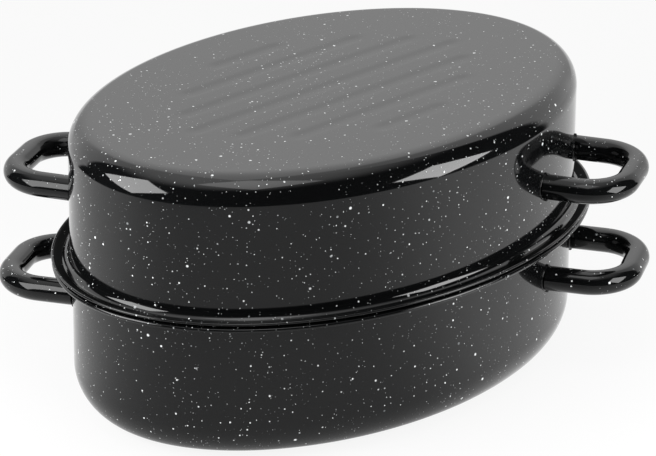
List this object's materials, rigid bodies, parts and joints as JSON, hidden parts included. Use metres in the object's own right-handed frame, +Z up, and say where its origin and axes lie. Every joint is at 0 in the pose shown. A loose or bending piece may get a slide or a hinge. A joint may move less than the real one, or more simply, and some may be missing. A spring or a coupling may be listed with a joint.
{
  "type": "oval roasting pan with lid",
  "caption": "Deep oval roasting pan of speckled black enamelled steel, with a deep grooved lid and hollow tube handles welded to the pan and the lid.",
  "frame": {"origin": "middle of the pan's floor, on the surface it stands on", "axes": "+X along the oval's long axis, +Y along its short axis, +Z up from the pan's floor to the lid"},
  "size_m": [0.409, 0.3266, 0.196],
  "materials": {
    "enamel_pan": "glossy black vitreous enamel with fine white specks",
    "enamel_lid": "glossy black vitreous enamel with fine white specks",
    "enamel_lid_handle_right": "glossy black vitreous enamel with fine white specks",
    "enamel_lid_handle_left": "glossy black vitreous enamel with fine white specks",
    "enamel_pan_handle_right": "glossy black vitreous enamel with fine white specks",
    "enamel_pan_handle_left": "glossy black vitreous enamel with fine white specks"
  },
  "bodies": {
    "root": {"pan": "enamel_pan", "lid": "enamel_lid", "lid_handle_right": "enamel_lid_handle_right", "lid_handle_left": "enamel_lid_handle_left", "pan_handle_right": "enamel_pan_handle_right", "pan_handle_left": "enamel_pan_handle_left"}
  },
  "joints": []
}
